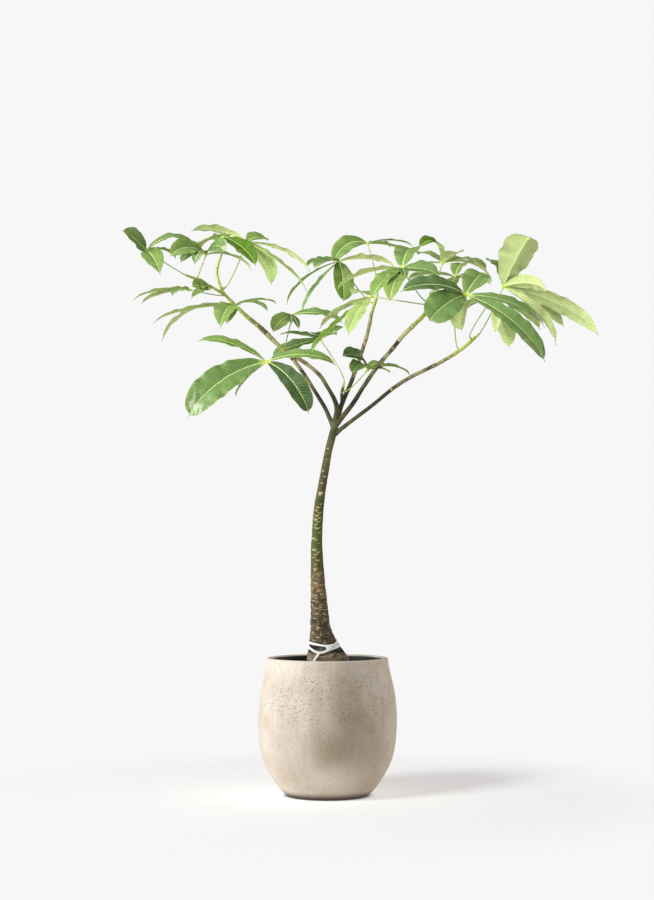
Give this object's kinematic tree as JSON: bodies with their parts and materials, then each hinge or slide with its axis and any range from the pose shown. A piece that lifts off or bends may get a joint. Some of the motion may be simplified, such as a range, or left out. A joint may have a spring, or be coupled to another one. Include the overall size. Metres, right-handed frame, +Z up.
{
  "type": "potted money tree",
  "caption": "Indoor tree with a forked, thick-footed trunk and hand-shaped leaves on long stalks, tied with a flat cord and planted in soil in a round concrete-look pot.",
  "frame": {"origin": "centre of the flat that the pot stands on", "axes": "+Z up along the pot's axis; +X to the right and -Y to the front, as the picture shows the plant"},
  "size_m": [1.0107, 0.5215, 1.2105],
  "materials": {
    "concrete": "matte",
    "soil": "matte",
    "bark": "matte",
    "white_cord": "matte",
    "leaf_green": "satin"
  },
  "bodies": {
    "root": {"pot": "concrete", "soil": "soil", "trunk": "bark", "tie_cord": "white_cord", "leaf_01": "leaf_green", "leaf_02": "leaf_green", "leaf_03": "leaf_green", "leaf_04": "leaf_green", "leaf_05": "leaf_green", "leaf_06": "leaf_green", "leaf_07": "leaf_green", "leaf_08": "leaf_green", "leaf_09": "leaf_green", "leaf_10": "leaf_green", "leaf_11": "leaf_green", "leaf_12": "leaf_green", "leaf_13": "leaf_green", "leaf_14": "leaf_green", "leaf_15": "leaf_green", "leaf_16": "leaf_green", "leaf_17": "leaf_green", "leaf_18": "leaf_green", "leaf_19": "leaf_green", "leaf_20": "leaf_green"}
  },
  "joints": []
}
